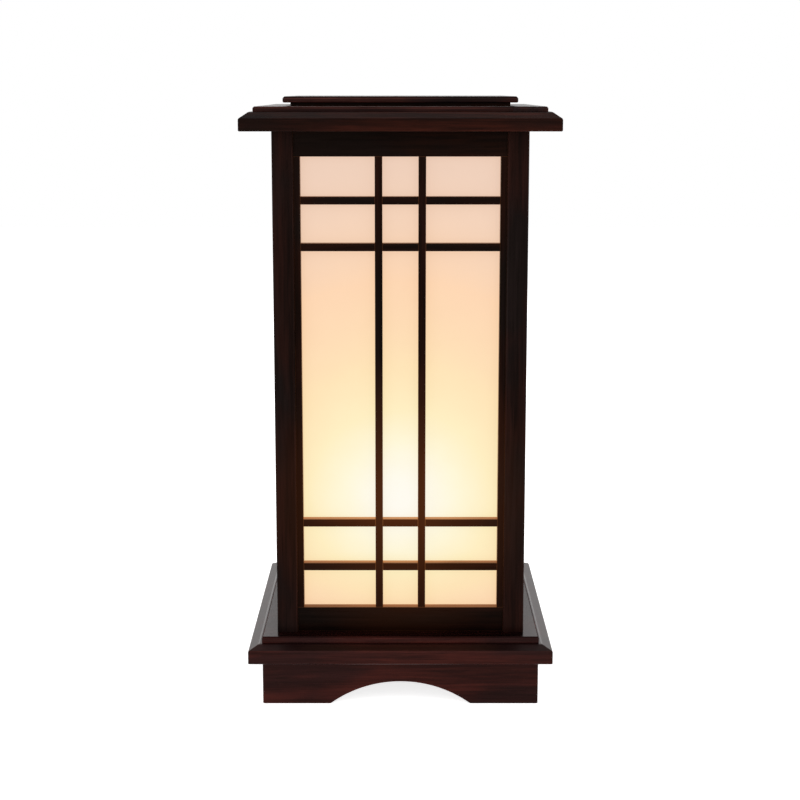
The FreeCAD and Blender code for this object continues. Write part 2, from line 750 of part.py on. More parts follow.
def tube_nut():
    """The six-sided nut that clamps the tube."""
    body = new_body("tube_nut")
    flat = "nut_flats / 2"
    point = "nut_flats / sqrt(3)"
    plan = [
        (flat, f"-{point} / 2"),
        (flat, f"{point} / 2"),
        ("0", point),
        (f"-{flat}", f"{point} / 2"),
        (f"-{flat}", f"-{point} / 2"),
        ("0", f"-{point}"),
    ]
    top = f"({TUBE_SEAT} - washer_thickness)"
    sketch = new_sketch(body, "plan", "XY_Plane", [plan], ("0", "0", top))
    pad(body, "hexagon", sketch, "nut_thickness", backwards=True)
    below = f"{top} - nut_thickness - overrun"
    bore = rectangle("0", "tube_radius + tube_clearance", below, f"{top} + overrun")
    turned(body, "bore", bore, cut=True)
    return body


def holder_cap():
    """The lower cup of the lampholder, tapered to its foot, with a well for the wires under the insert."""
    body = new_body("holder_cap")
    neck = "tube_radius + tube_clearance"
    seat = f"{HOLDER_RADIUS} - holder_wall"
    shelf = f"{HOLDER_TOP} - insert_height"
    well = "holder_foot - holder_wall"
    profile = [
        (neck, BASE_TOP),
        ("holder_foot", BASE_TOP),
        (HOLDER_RADIUS, f"{BASE_TOP} + holder_taper"),
        (HOLDER_RADIUS, HOLDER_TOP),
        (seat, HOLDER_TOP),
        (seat, shelf),
        (well, shelf),
        (well, f"{BASE_TOP} + holder_wall"),
        (neck, f"{BASE_TOP} + holder_wall"),
    ]
    turned(body, "cup", profile)
    return body


def holder_insert():
    """The ceramic disc that carries the contacts."""
    body = new_body("holder_insert")
    edge = f"{HOLDER_RADIUS} - holder_wall - insert_play"
    turned(body, "disc", rectangle("0", edge, f"{HOLDER_TOP} - insert_height", HOLDER_TOP))
    return body


def holder_sleeve():
    """The outer sleeve of the lampholder, with a thicker rim."""
    body = new_body("holder_sleeve")
    top = f"({HOLDER_TOP} + sleeve_height)"
    rim = f"{HOLDER_RADIUS} + sleeve_rim"
    profile = [
        (SLEEVE_BORE, HOLDER_TOP),
        (HOLDER_RADIUS, HOLDER_TOP),
        (HOLDER_RADIUS, f"{top} - sleeve_rim_height"),
        (rim, f"{top} - sleeve_rim_height"),
        (rim, top),
        (SLEEVE_BORE, top),
    ]
    turned(body, "tube", profile)
    return body


def holder_shell():
    """The thin brass shell that the bulb screws into. It stands on the insert."""
    body = new_body("holder_shell")
    turned(body, "tube", rectangle(SHELL_BORE, SHELL_OUTER, HOLDER_TOP, f"{HOLDER_TOP} + shell_height"))
    return body


def centre_contact():
    """The bent brass tongue under the bulb."""
    body = new_body("centre_contact")
    foot_end = "-contact_reach + contact_foot"
    rise_end = "-contact_tongue + contact_thickness"
    profile = [
        ("-contact_reach", HOLDER_TOP),
        (foot_end, HOLDER_TOP),
        (rise_end, f"{HOLDER_TOP} + contact_lift - contact_thickness"),
        ("contact_tongue", f"{HOLDER_TOP} + contact_lift - contact_thickness"),
        ("contact_tongue", f"{HOLDER_TOP} + contact_lift"),
        ("-contact_tongue", f"{HOLDER_TOP} + contact_lift"),
        (f"{foot_end} - contact_thickness", f"{HOLDER_TOP} + contact_thickness"),
        ("-contact_reach", f"{HOLDER_TOP} + contact_thickness"),
    ]
    sketch = new_sketch(body, "profile", "XZ_Plane", [profile], ("0", "0", "contact_width / 2"))
    pad(body, "strip", sketch, "contact_width", backwards=True)
    return body


def bulb_button():
    """The bulb's centre contact."""
    body = new_body("bulb_button")
    turned(body, "button", rectangle("0", "button_radius", BULB_BOTTOM, INSULATOR_BOTTOM))
    return body


def bulb_insulator():
    """The cone between the bulb's centre contact and its cap."""
    body = new_body("bulb_insulator")
    profile = [
        ("0", INSULATOR_BOTTOM),
        ("button_radius", INSULATOR_BOTTOM),
        ("cap_radius", CAP_BOTTOM),
        ("0", CAP_BOTTOM),
    ]
    turned(body, "cone", profile)
    return body


def bulb_cap():
    """The bulb's metal cap, a thin tube."""
    body = new_body("bulb_cap")
    turned(body, "tube", rectangle("cap_radius - cap_wall", "cap_radius", CAP_BOTTOM, CAP_TOP))
    return body


def bulb_housing():
    """The round collar between cap and globe, a cup for the driver board."""
    body = new_body("bulb_housing")
    floor_top = f"{CAP_TOP} + globe_wall"
    profile = [
        ("0", CAP_TOP),
        ("globe_radius", CAP_TOP),
        ("globe_radius", GLOBE_SEAT),
        (GLOBE_INNER, GLOBE_SEAT),
        (GLOBE_INNER, floor_top),
        ("0", floor_top),
    ]
    turned(body, "cup", profile)
    return body


def bulb_globe():
    """The frosted globe of a tubular bulb, which stands on the collar: a long skirt with a bevelled end."""
    body = new_body("bulb_globe")
    skirt_top = f"({GLOBE_SEAT} + globe_skirt)"
    crown = f"{skirt_top} + globe_bevel"
    profile = [
        ("globe_radius", GLOBE_SEAT),
        ("globe_radius", skirt_top),
        ("globe_radius - globe_bevel", crown),
        ("0", crown),
        ("0", skirt_top),
        (GLOBE_INNER, skirt_top),
        (GLOBE_INNER, GLOBE_SEAT),
    ]
    turned(body, "shell", profile)
    return body


def build():
    """Every sub-part of the lamp."""
    pieces = [apron(side) for side in SIDES]
    pieces += [corner_blocks(), cord_grommet(), base_board(), screws("base_screws", *BASE_SCREW)]
    pieces += [post(corner) for corner in CORNERS]
    for side in SIDES:
        pieces += [rail(side, "top"), rail(side, "bottom")]
        pieces += [stiles(side), uprights(side), crossbars(side), pane(side)]
    pieces += [roof_board(), screws("roof_screws", *ROOF_SCREW)]
    pieces += [roof_strip(side) for side in SIDES]
    pieces += [
        lid_board(),
        lid_strips("lid_strips_long", PLUG_HALF, 0),
        lid_strips("lid_strips_short", f"{PLUG_HALF} - plug_strip_width", 1),
    ]
    pieces += [clamp_tube(), tube_washer(), tube_nut()]
    pieces += [holder_cap(), holder_insert(), holder_sleeve(), holder_shell(), centre_contact()]
    pieces += [bulb_button(), bulb_insulator(), bulb_cap(), bulb_housing(), bulb_globe()]
    return pieces


def check(pieces):
    """Stops if any object failed or any sub-part has no sound solid."""
    failed = [o.Label for o in doc.Objects if "Invalid" in o.State or "Error" in o.State]
    failed += [p.Label for p in pieces if p.Shape.isNull() or not p.Shape.isValid() or not p.Shape.Solids]
    if failed:
        raise RuntimeError(f"failed: {failed}")


parts = build()
doc.recompute()
check(parts)
os.makedirs("parts", exist_ok=True)
for part in parts:
    part.Shape.exportStep(f"parts/{part.Label}.step")
print(len(parts), "sub-parts,", sum(len(part.Shape.Solids) for part in parts), "solids")
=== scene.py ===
import math

import bpy
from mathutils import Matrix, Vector


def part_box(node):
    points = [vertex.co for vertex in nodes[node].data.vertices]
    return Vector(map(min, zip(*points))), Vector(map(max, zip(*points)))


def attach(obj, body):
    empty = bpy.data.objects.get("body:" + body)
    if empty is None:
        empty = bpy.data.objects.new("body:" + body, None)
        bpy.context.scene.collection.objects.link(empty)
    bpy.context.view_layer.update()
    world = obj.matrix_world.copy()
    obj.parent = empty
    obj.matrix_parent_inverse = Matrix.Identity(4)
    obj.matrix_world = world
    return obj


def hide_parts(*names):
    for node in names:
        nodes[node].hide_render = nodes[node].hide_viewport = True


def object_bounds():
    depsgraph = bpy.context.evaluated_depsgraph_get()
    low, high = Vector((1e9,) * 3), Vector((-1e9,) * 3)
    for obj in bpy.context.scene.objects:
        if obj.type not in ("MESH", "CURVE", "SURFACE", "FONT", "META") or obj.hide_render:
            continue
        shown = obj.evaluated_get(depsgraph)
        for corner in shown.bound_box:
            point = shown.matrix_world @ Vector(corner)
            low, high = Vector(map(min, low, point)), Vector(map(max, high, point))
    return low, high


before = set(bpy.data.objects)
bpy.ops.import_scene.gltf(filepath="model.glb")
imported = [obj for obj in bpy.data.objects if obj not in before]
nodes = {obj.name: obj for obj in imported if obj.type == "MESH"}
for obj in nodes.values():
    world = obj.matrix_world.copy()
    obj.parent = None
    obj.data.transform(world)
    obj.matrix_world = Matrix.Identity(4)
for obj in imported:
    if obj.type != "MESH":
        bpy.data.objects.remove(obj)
cad_low, cad_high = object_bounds()
scene = bpy.context.scene

MM = 0.001
WHITE = (1, 1, 1)
BLACK = (0, 0, 0)

# For each side, the axis that runs along it and the axis square to it
SIDE_AXES = {"front": ("x", "y"), "right": ("y", "x"), "back": ("x", "y"), "left": ("y", "x")}
CORNERS = ("front_left", "front_right", "back_right", "back_left")

# Where the bulb glows, and how far out from its axis the panes and the lattice reach
globe_low, globe_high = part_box("bulb_globe")
pane_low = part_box("pane_front")[0]
GLOW_HEIGHT = (globe_low.z + globe_high.z) / 2
PANE_REACH = -pane_low.y
LATTICE_REACH = -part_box("lattice_uprights_front")[0].y

# The range that a noise mostly keeps to, and the middle of a coloured one
NOISE_RANGE = (0.3, 0.7)
NOISE_MIDDLE = (0.5, 0.5, 0.5)


class Shader:
    """A material under construction: short names for the nodes that the finishes share."""

    # Where a Mix node keeps its sockets for colours
    MIX_INPUTS = (6, 7)
    MIX_OUTPUT = 2

    def __init__(self, name):
        self.material = bpy.data.materials.new(name)
        self.material.use_nodes = True
        self.tree = self.material.node_tree
        self.surface = self.tree.nodes["Principled BSDF"]
        coordinates = self.tree.nodes.new("ShaderNodeTexCoord").outputs
        self.place = coordinates["Object"]
        self.normal = coordinates["Normal"]

    def link(self, source, target):
        self.tree.links.new(source, target)

    def feed(self, socket, value):
        """Links a node's output to a socket, or sets a plain value on it. A colour gets its alpha here."""
        if isinstance(value, bpy.types.NodeSocket):
            self.link(value, socket)
        elif socket.type == "RGBA":
            socket.default_value = (*value, 1)
        else:
            socket.default_value = value

    def set(self, name, value):
        self.feed(self.surface.inputs[name], value)

    def noise(self, source, scale, detail, roughness):
        node = self.tree.nodes.new("ShaderNodeTexNoise")
        self.link(source, node.inputs["Vector"])
        node.inputs["Scale"].default_value = scale
        node.inputs["Detail"].default_value = detail
        node.inputs["Roughness"].default_value = roughness
        return node.outputs["Fac"]

    def grain(self, source, axis, along, across, detail, roughness):
        """Noise with one number of repeats per metre along an axis and another across it."""
        node = self.tree.nodes.new("ShaderNodeMapping")
        self.link(source, node.inputs["Vector"])
        node.inputs["Scale"].default_value = tuple(along if name == axis else across for name in "xyz")
        return self.noise(node.outputs["Vector"], 1, detail, roughness)

    def ramp(self, source, stops):
        """A colour from a list of places on the source's scale, each with its colour."""
        node = self.tree.nodes.new("ShaderNodeValToRGB")
        self.link(source, node.inputs["Fac"])
        elements = node.color_ramp.elements
        while len(elements) < len(stops):
            elements.new(1)
        for element, (position, colour) in zip(elements, stops):
            element.position = position
            element.color = (*colour, 1)
        return node.outputs["Color"]

    def tones(self, noise, dark, light):
        """A colour between two, over the range of a noise."""
        return self.ramp(noise, tuple(zip(NOISE_RANGE, (dark, light))))

    def span(self, source, low, high, to_low, to_high):
        """The source's low to high made into another range, and held at its ends beyond it."""
        node = self.tree.nodes.new("ShaderNodeMapRange")
        self.link(source, node.inputs["Value"])
        for name, value in (("From Min", low), ("From Max", high), ("To Min", to_low), ("To Max", to_high)):
            node.inputs[name].default_value = value
        return node.outputs["Result"]

    def math(self, operation, first, second=0):
        node = self.tree.nodes.new("ShaderNodeMath")
        node.operation = operation
        self.feed(node.inputs[0], first)
        self.feed(node.inputs[1], second)
        return node.outputs[0]

    def vector_math(self, operation, first, second):
        node = self.tree.nodes.new("ShaderNodeVectorMath")
        node.operation = operation
        self.feed(node.inputs[0], first)
        self.feed(node.inputs[1], second)
        return node.outputs["Value" if operation == "DISTANCE" else "Vector"]

    def part(self, vector, axis):
        """One of a vector's three parts. A normal's part is 1 on a face that looks along that axis."""
        node = self.tree.nodes.new("ShaderNodeSeparateXYZ")
        self.link(vector, node.inputs[0])
        return node.outputs[axis.upper()]

    def band(self, source, rise, fall, level):
        """A level between a rise and a fall of the source, and 0 beyond them."""
        inside = self.math("MULTIPLY", self.span(source, *rise, 0, 1), self.span(source, *fall, 1, 0))
        return self.math("MULTIPLY", inside, level)

    def mix(self, share, first, second, blend="MIX"):
        node = self.tree.nodes.new("ShaderNodeMix")
        node.data_type = "RGBA"
        node.blend_type = blend
        self.feed(node.inputs["Factor"], share)
        for place, colour in zip(self.MIX_INPUTS, (first, second)):
            self.feed(node.inputs[place], colour)
        return node.outputs[self.MIX_OUTPUT]

    def bump(self, height, strength, distance):
        node = self.tree.nodes.new("ShaderNodeBump")
        self.link(height, node.inputs["Height"])
        node.inputs["Strength"].default_value = strength
        node.inputs["Distance"].default_value = distance
        self.link(node.outputs["Normal"], self.surface.inputs["Normal"])


# Lacquered wood in five stains. Each has a cool and a warm pair of tones, from its dark grain to its light
# grain, a gloss level and the tint of its lacquer, a roughness on dark and on light grain, the share of its
# colour on faces that look up, which paints light on them above 1 and shade below 1, and the share of its
# colour at the foot of the body, which paints shade there.
STAINS = {
    # The frame stain is darker than the post stain, partly as painted shade: the roof's shade on the rails
    "frame": {
        "cool": ((0.0014, 0.0011, 0.0010), (0.0054, 0.0032, 0.0027)),
        "warm": ((0.0027, 0.0010, 0.0007), (0.0130, 0.0037, 0.0021)),
        "gloss": 0.035,
        "tint": (1.0, 0.60, 0.46),
        "roughness": (0.38, 0.26),
        "top_light_and_shade": 1,
        "foot_painted_shade": 0.25,
    },
    "post": {
        "cool": ((0.0016, 0.0013, 0.0013), (0.0064, 0.0042, 0.0040)),
        "warm": ((0.0028, 0.0012, 0.0010), (0.0148, 0.0046, 0.0034)),
        "gloss": 0.038,
        "tint": (1.0, 0.64, 0.52),
        "roughness": (0.38, 0.26),
        "top_light_and_shade": 1,
        "foot_painted_shade": 0.85,
    },
    "lid": {
        "cool": ((0.0028, 0.0017, 0.0018), (0.0098, 0.0052, 0.0055)),
        "warm": ((0.0062, 0.0020, 0.0018), (0.0340, 0.0100, 0.0078)),
        "gloss": 0.065,
        "tint": (1.0, 0.62, 0.54),
        "roughness": (0.38, 0.26),
        "top_light_and_shade": 0.8,
        "foot_painted_shade": 1,
    },
    "roof": {
        "cool": ((0.0019, 0.0009, 0.0009), (0.0068, 0.0027, 0.0025)),
        "warm": ((0.0046, 0.0011, 0.0008), (0.0310, 0.0066, 0.0040)),
        "gloss": 0.060,
        "tint": (1.0, 0.55, 0.42),
        "roughness": (0.38, 0.26),
        "top_light_and_shade": 1.9,
        "foot_painted_shade": 1,
    },
    "base": {
        "cool": ((0.0032, 0.0012, 0.0013), (0.0158, 0.0046, 0.0046)),
        "warm": ((0.0086, 0.0016, 0.0015), (0.0460, 0.0090, 0.0066)),
        "gloss": 0.13,
        "tint": (1.0, 0.48, 0.42),
        "roughness": (0.26, 0.16),
        "top_light_and_shade": 0.35,
        "foot_painted_shade": 1,
    },
}

# Grain of four sizes: repeats per metre along and across it, and the detail and roughness of its noise
BROAD_GRAIN = (4, 70, 5, 0.60)
FINE_GRAIN = (11, 380, 5, 0.65)
PORE_GRAIN = (38, 1700, 2, 0.50)
BLOTCH_GRAIN = (11, 34, 3, 0.50)
WANDER_SCALE = 7
WANDER_REACH = 0.005

# How grain turns to colour and relief: the share of broad grain in the figure, the ranges from dark to light
# figure and from cool to warm blotches, the shade in open pores, the lift on edges, partly rubbed wear and
# partly a painted highlight, and the bump
BROAD_SHARE = 0.55
FIGURE_RANGE = (0.42, 0.59)
BLOTCH_RANGE = (0.42, 0.58)
PORE_RANGE = (0.33, 0.43)
PORE_SHADE = 0.45
EDGE_LIFT = 2.2
FINE_RELIEF = 0.5
WOOD_BUMP = (0.10, 0.25 * MM)

# The upward part of a normal over which a face comes to look up
UP_RANGE = (0.5, 0.9)

# Lacquer is rubbed dull on faces that lean: most on the arrises, less on the boards' slopes. For each, the
# upward part of the face's normal where the dullness comes in and where it ends, and its roughness.
RUBBED = (
    ((0.50, 0.62), (0.75, 0.80), 0.85),
    ((0.80, 0.84), (0.93, 0.97), 0.42),
)

# Where the body's foot is, and how high above it the painted shade at the foot reaches
BODY_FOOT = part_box("post_front_left")[0].z
FOOT_SHADE = 17 * MM

# The bulb's light on the wood: all round near the bulb, and on the faces that stand square to a pane, sills
# most. There it fades from the pane out to the lattice's front, and shows the wood's figure.
GLOW_POWER = -3
SPILL_COLOUR = (0.054, 0.0130, 0.0022)
SPILL_RANGE = (0.19, 0.74)
PANE_LIT_STOPS = (
    (0.05, (0.13, 0.046, 0.016)),
    (0.38, (0.30, 0.104, 0.035)),
    (1.00, (0.43, 0.195, 0.052)),
)
UPRIGHT_LIT_SHARE = 0.77
LIT_FADE = (1.25, 0.75)
LIT_FIGURE = (0.72, 1.34)


def glow_share(shader):
    """The bulb's light that reaches a point: 1 on a pane level with the bulb, and less further off."""
    reach = shader.vector_math("DISTANCE", shader.place, (0, 0, GLOW_HEIGHT))
    return shader.math("POWER", shader.math("DIVIDE", reach, PANE_REACH), GLOW_POWER)


def wandering_place(shader):
    """A point's place, moved a little from side to side so that grain doesn't run dead straight."""
    drift = shader.tree.nodes.new("ShaderNodeTexNoise")
    shader.link(shader.place, drift.inputs["Vector"])
    drift.inputs["Scale"].default_value = WANDER_SCALE
    centred = shader.vector_math("SUBTRACT", drift.outputs["Color"], NOISE_MIDDLE)
    moved = shader.vector_math("MULTIPLY", centred, (WANDER_REACH,) * 3)
    return shader.vector_math("ADD", shader.place, moved)


def pane_light(shader, glow, outward, tilt, figure, pores):
    """Light from a pane on the wood beside it. outward is the axis square to the pane."""
    facing = shader.math("ABSOLUTE", shader.part(shader.normal, outward))
    sill = shader.span(tilt, *UP_RANGE, UPRIGHT_LIT_SHARE, 1)
    square_on = shader.math("MULTIPLY", shader.span(facing, 0, 1, 1, 0), sill)
    away = shader.math("ABSOLUTE", shader.part(shader.place, outward))
    fade = shader.span(away, PANE_REACH, LATTICE_REACH, *LIT_FADE)
    figured = shader.math("MULTIPLY", shader.span(figure, *FIGURE_RANGE, *LIT_FIGURE), pores)
    level = shader.math("MULTIPLY", fade, figured)
    lit_wood = shader.mix(1, shader.ramp(glow, PANE_LIT_STOPS), level, "MULTIPLY")
    return shader.mix(square_on, BLACK, lit_wood)


def wood(name, axis, stain, outward, lift=1):
    """Dark stained wood under satin lacquer, with its grain along one axis. lift brightens edges, as rubbed
    wear and as a painted highlight.
    outward is the axis square to the pane beside the piece, if it has one."""
    shader = Shader(name)
    finish = STAINS[stain]
    place = wandering_place(shader)
    broad = shader.grain(place, axis, *BROAD_GRAIN)
    fine = shader.grain(place, axis, *FINE_GRAIN)
    blotch = shader.grain(place, axis, *BLOTCH_GRAIN)
    pores = shader.span(shader.grain(place, axis, *PORE_GRAIN), *PORE_RANGE, PORE_SHADE, 1)
    broad_part = shader.math("MULTIPLY", broad, BROAD_SHARE)
    fine_part = shader.math("MULTIPLY", fine, 1 - BROAD_SHARE)
    figure = shader.math("ADD", broad_part, fine_part)
    tilt = shader.part(shader.normal, "z")

    lightness = shader.span(figure, *FIGURE_RANGE, 0, 1)
    warmth = shader.span(blotch, *BLOTCH_RANGE, 0, 1)
    cool = shader.mix(lightness, *finish["cool"])
    warm = shader.mix(lightness, *finish["warm"])
    # Painted light and shade on faces that look up: lighter above a share of 1, darker below. lift also
    # brightens edges, partly as a painted highlight.
    shade = shader.span(tilt, *UP_RANGE, lift, lift * finish["top_light_and_shade"])
    shade = shader.math("MULTIPLY", shade, pores)
    # Painted shade: darker towards the body's foot, over FOOT_SHADE above it
    if finish["foot_painted_shade"] < 1:
        level = shader.part(shader.place, "z")
        foot = shader.span(level, BODY_FOOT, BODY_FOOT + FOOT_SHADE, finish["foot_painted_shade"], 1)
        shade = shader.math("MULTIPLY", shade, foot)
    shader.set("Base Color", shader.mix(1, shader.mix(warmth, cool, warm), shade, "MULTIPLY"))

    roughness = shader.span(fine, *NOISE_RANGE, *finish["roughness"])
    for rubbed in RUBBED:
        roughness = shader.math("MAXIMUM", roughness, shader.band(tilt, *rubbed))
    shader.set("Roughness", roughness)
    shader.set("Specular IOR Level", finish["gloss"])
    shader.set("Specular Tint", finish["tint"])
    shader.bump(shader.math("ADD", shader.math("MULTIPLY", fine, FINE_RELIEF), pores), *WOOD_BUMP)

    glow = glow_share(shader)
    light = shader.mix(shader.span(glow, *SPILL_RANGE, 0, 1), BLACK, SPILL_COLOUR)
    if outward:
        light = shader.mix(1, light, pane_light(shader, glow, outward, tilt, figure, pores), "ADD")
    shader.set("Emission Color", light)
    shader.set("Emission Strength", 1)
    return shader.material


WOODS = {}


def lacquered(stain, axis, outward):
    """The face and edge materials of a stain, made once for each pair of axes."""
    key = (stain, axis, outward)
    if key not in WOODS:
        label = f"{stain}_{axis}{outward or ''}"
        face = wood(f"{label}_wood", axis, stain, outward)
        # Edges lifted: rubbed wear and a painted highlight
        edge = wood(f"{label}_edge", axis, stain, outward, EDGE_LIFT)
        WOODS[key] = (face, edge)
    return WOODS[key]


# Each wooden piece's stain, grain axis, axis square to the pane beside it, and eased arris in millimetres
WOODEN = {
    "base_board": ("base", "x", None, 0.5),
    "roof_board": ("roof", "x", None, 0.5),
    "lid_board": ("lid", "x", None, 0.85),
    # The lid's strips take the dark frame stain: painted shade in the gap under the lid
    "lid_strips_long": ("frame", "x", None, 0.3),
    "lid_strips_short": ("frame", "y", None, 0.3),
}
for side, (along, outward) in SIDE_AXES.items():
    WOODEN[f"apron_{side}"] = ("base", along, None, 0.6)
    WOODEN[f"roof_strip_{side}"] = ("lid", along, None, 0.45)
    for piece in ("top_rail", "bottom_rail", "lattice_crossbars"):
        WOODEN[f"{piece}_{side}"] = ("frame", along, outward, 0.35)
    for piece in ("lattice_stiles", "lattice_uprights"):
        WOODEN[f"{piece}_{side}"] = ("frame", "z", outward, 0.35)
for corner in CORNERS:
    WOODEN[f"post_{corner}"] = ("post", "z", None, 0.3)

# How edges are eased: facets are joined first, and edges sharper than an angle are rounded
WELD_REACH = 0.002 * MM
FLAT_ANGLE = math.radians(1)
ARRIS_ANGLE = math.radians(28)
ARRIS_STEPS = 3
FACE_SLOT = -1
EDGE_SLOT = 1


def dress(node, *materials):
    """Puts materials in a node's slots, in order."""
    slots = nodes[node].data.materials
    slots.clear()
    for material in materials:
        slots.append(material)


def ease_edges(node, arris, slot):
    """Rounds a node's sharp edges by modifiers and gives the rounding a material slot."""
    piece = nodes[node]
    weld = piece.modifiers.new("weld", "WELD")
    weld.merge_threshold = WELD_REACH
    flatten = piece.modifiers.new("flatten", "DECIMATE")
    flatten.decimate_type = "DISSOLVE"
    flatten.angle_limit = FLAT_ANGLE
    bevel = piece.modifiers.new("ease", "BEVEL")
    bevel.width = arris * MM
    bevel.segments = ARRIS_STEPS
    bevel.limit_method = "ANGLE"
    bevel.angle_limit = ARRIS_ANGLE
    bevel.material = slot
    normals = piece.modifiers.new("normals", "WEIGHTED_NORMAL")
    normals.keep_sharp = True


for node, (stain, axis, outward, arris) in WOODEN.items():
    dress(node, *lacquered(stain, axis, outward))
    ease_edges(node, arris, EDGE_SLOT)

# The panes' light from the bulb behind them: 1 level with the bulb, falling with distance
GLOW_STOPS = (
    (0.03, (0.736, 0.509, 0.384)),
    (0.09, (0.850, 0.549, 0.330)),
    (0.25, (0.864, 0.651, 0.360)),
    (0.45, (0.866, 0.733, 0.423)),
    (0.70, (0.866, 0.803, 0.573)),
    (1.00, (0.866, 0.842, 0.757)),
)

# The lampholder and the base keep some of that light off the foot of a pane
DIM_SHARE = 0.57
DIM_ABOVE_FOOT = 20 * MM
DIM_BELOW_BULB = 40 * MM

# A pane's sheet: the noises' repeats per metre, detail and roughness, and what they change
PANE_MIST = (60, 3, 0.5)
PANE_TONES = ((0.098, 0.093, 0.086), (0.104, 0.098, 0.091))
PANE_UNEVENNESS = (0.98, 1.02)
PANE_GRAIN = (900, 2, 0.5)
PANE_ROUGHNESS = (0.42, 0.52)
PANE_GLOSS = 0.3
PANE_BUMP = (0.05, 0.1 * MM)


def pane_sheet():
    """Translucent white sheet lit from behind."""
    shader = Shader("pane_sheet")
    mist = shader.noise(shader.place, *PANE_MIST)
    grain = shader.noise(shader.place, *PANE_GRAIN)
    height = shader.part(shader.place, "z")
    dim = shader.span(height, pane_low.z + DIM_ABOVE_FOOT, GLOW_HEIGHT - DIM_BELOW_BULB, DIM_SHARE, 1)
    reaching = shader.math("MULTIPLY", glow_share(shader), dim)
    uneven = shader.math("MULTIPLY", reaching, shader.span(mist, *NOISE_RANGE, *PANE_UNEVENNESS))
    shader.set("Base Color", shader.tones(mist, *PANE_TONES))
    shader.set("Emission Color", shader.ramp(uneven, GLOW_STOPS))
    shader.set("Emission Strength", 1)
    shader.set("Roughness", shader.span(grain, *NOISE_RANGE, *PANE_ROUGHNESS))
    shader.set("Specular IOR Level", PANE_GLOSS)
    shader.bump(grain, *PANE_BUMP)
    return shader.material


PANE_SHEET = pane_sheet()
for side in SIDE_AXES:
    dress(f"pane_{side}", PANE_SHEET)

# Sawn wood: its grain, given as the lacquered wood's is, and the tones, roughness and bump that follow it
SAWN_GRAIN = (9, 420, 5, 0.65)
SAWN_TONES = ((0.30, 0.17, 0.08), (0.52, 0.34, 0.18))
SAWN_ROUGHNESS = (0.7, 0.85)
SAWN_BUMP = (0.3, 0.4 * MM)

# Turned metal: marks round its axis, the share of its colour in them, and what they add to its roughness
TURNING_MARKS = (900, 200, 4, 0.6)
MARK_SHADE = 0.8
MARK_ROUGHNESS = 0.14
MARK_BUMP = (0.06, 0.1 * MM)

# Moulded pieces: the skin's noise, the share of its colour in it, and what it adds to its roughness
SKIN = (700, 3, 0.6)
SKIN_SHADE = 0.88
SKIN_ROUGHNESS = (-0.05, 0.07)
SKIN_BUMP = (0.08, 0.1 * MM)

# The lit globe: its frost, and its light at its foot and from its middle up
FROST = (500, 3, 0.6)
FROST_TONES = ((0.10, 0.09, 0.08), (0.12, 0.11, 0.10))
FROST_ROUGHNESS = (0.5, 0.6)
GLOBE_FOOT_LIGHT = (0.60, 0.42, 0.22)
GLOBE_LIGHT = (0.90, 0.84, 0.66)


def sawn_wood():
    """Sawn, unfinished softwood of the glue blocks."""
    shader = Shader("sawn_wood")
    fine = shader.grain(shader.place, "z", *SAWN_GRAIN)
    shader.set("Base Color", shader.tones(fine, *SAWN_TONES))
    shader.set("Roughness", shader.span(fine, *NOISE_RANGE, *SAWN_ROUGHNESS))
    shader.bump(fine, *SAWN_BUMP)
    return shader.material


def metal(name, colour, dull):
    """Bare metal with fine turning marks. dull is its least roughness."""
    shader = Shader(name)
    marks = shader.grain(shader.place, "z", *TURNING_MARKS)
    dark = tuple(MARK_SHADE * part for part in colour)
    shader.set("Base Color", shader.tones(marks, dark, colour))
    shader.set("Metallic", 1)
    shader.set("Roughness", shader.span(marks, *NOISE_RANGE, dull, dull + MARK_ROUGHNESS))
    shader.bump(marks, *MARK_BUMP)
    return shader.material


def moulded(name, colour, dull):
    """Moulded plastic, rubber or ceramic with a faint skin texture. dull is its middling roughness."""
    shader = Shader(name)
    skin = shader.noise(shader.place, *SKIN)
    dark = tuple(SKIN_SHADE * part for part in colour)
    roughness = (dull + change for change in SKIN_ROUGHNESS)
    shader.set("Base Color", shader.tones(skin, dark, colour))
    shader.set("Roughness", shader.span(skin, *NOISE_RANGE, *roughness))
    shader.bump(skin, *SKIN_BUMP)
    return shader.material


def frosted_globe():
    """The lit bulb's frosted globe."""
    shader = Shader("frosted_globe")
    frost = shader.noise(shader.place, *FROST)
    lit = shader.span(shader.part(shader.place, "z"), globe_low.z, GLOW_HEIGHT, 0, 1)
    shader.set("Base Color", shader.tones(frost, *FROST_TONES))
    shader.set("Emission Color", shader.mix(lit, GLOBE_FOOT_LIGHT, GLOBE_LIGHT))
    shader.set("Emission Strength", 1)
    shader.set("Roughness", shader.span(frost, *NOISE_RANGE, *FROST_ROUGHNESS))
    return shader.material


STEEL = metal("zinc_steel", (0.56, 0.55, 0.52), 0.30)
BRASS = metal("bare_brass", (0.66, 0.45, 0.17), 0.22)
TINNED = metal("tinned_metal", (0.68, 0.68, 0.66), 0.24)
BLACK_PLASTIC = moulded("black_phenolic", (0.022, 0.020, 0.019), 0.30)
INSULATOR = moulded("black_glass", (0.012, 0.011, 0.011), 0.16)
CERAMIC = moulded("porcelain", (0.72, 0.70, 0.65), 0.38)
RUBBER = moulded("black_rubber", (0.020, 0.020, 0.020), 0.62)
WHITE_PLASTIC = moulded("bulb_housing_white", (0.74, 0.73, 0.70), 0.46)

